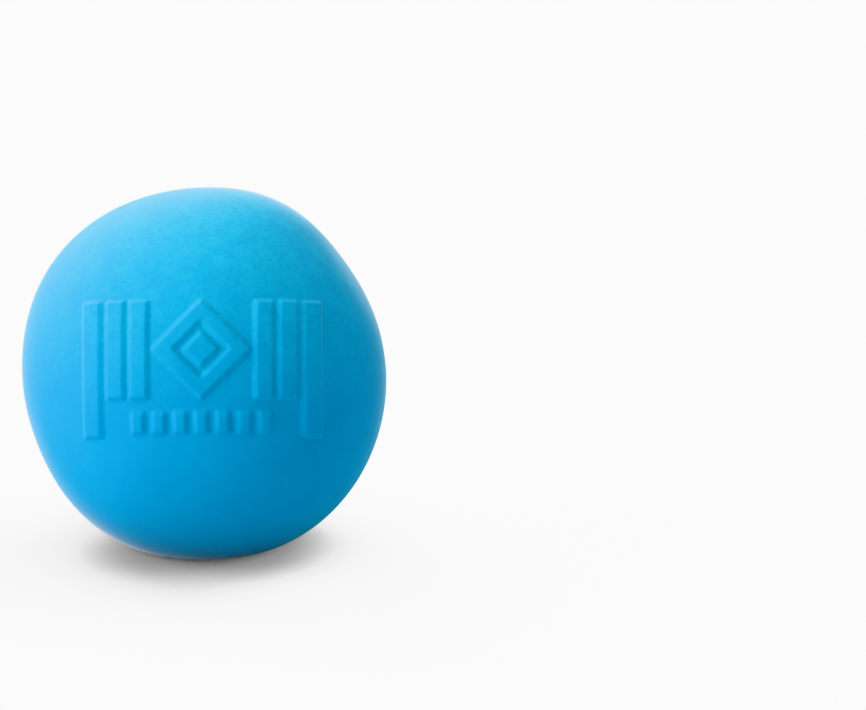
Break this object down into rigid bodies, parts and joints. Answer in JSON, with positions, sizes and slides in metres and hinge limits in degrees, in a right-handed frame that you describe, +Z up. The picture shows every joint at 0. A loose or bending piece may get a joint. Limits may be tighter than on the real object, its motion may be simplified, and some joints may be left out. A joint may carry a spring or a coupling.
{
  "type": "stress ball",
  "caption": "Large squeezable stress ball: thick soft rubber skin with a raised front pattern, dough filling, flat foot and a glued filling plug at the back.",
  "frame": {"origin": "middle of the ball's outline, on the surface that it rests on", "axes": "+Z up out of the flat foot, -Y the front with the raised pattern, +Y the back with the filling plug, +X to the right seen from the front"},
  "size_m": [0.115, 0.1144, 0.1132],
  "materials": {
    "skin": "satin",
    "filling": "matte",
    "plug": "satin",
    "glue": "gloss"
  },
  "bodies": {
    "ball": {"skin": "skin", "filling": "filling"},
    "port": {"fill_plug": "plug", "plug_glue": "glue"}
  },
  "joints": [
    {"name": "squeeze", "type": "slide", "parent": "ball", "child": "port", "axis": [0, -1, 0], "range_m": [0, 0.035], "stiffness_N_per_m": 1300, "deforming": ["skin", "filling"]}
  ]
}
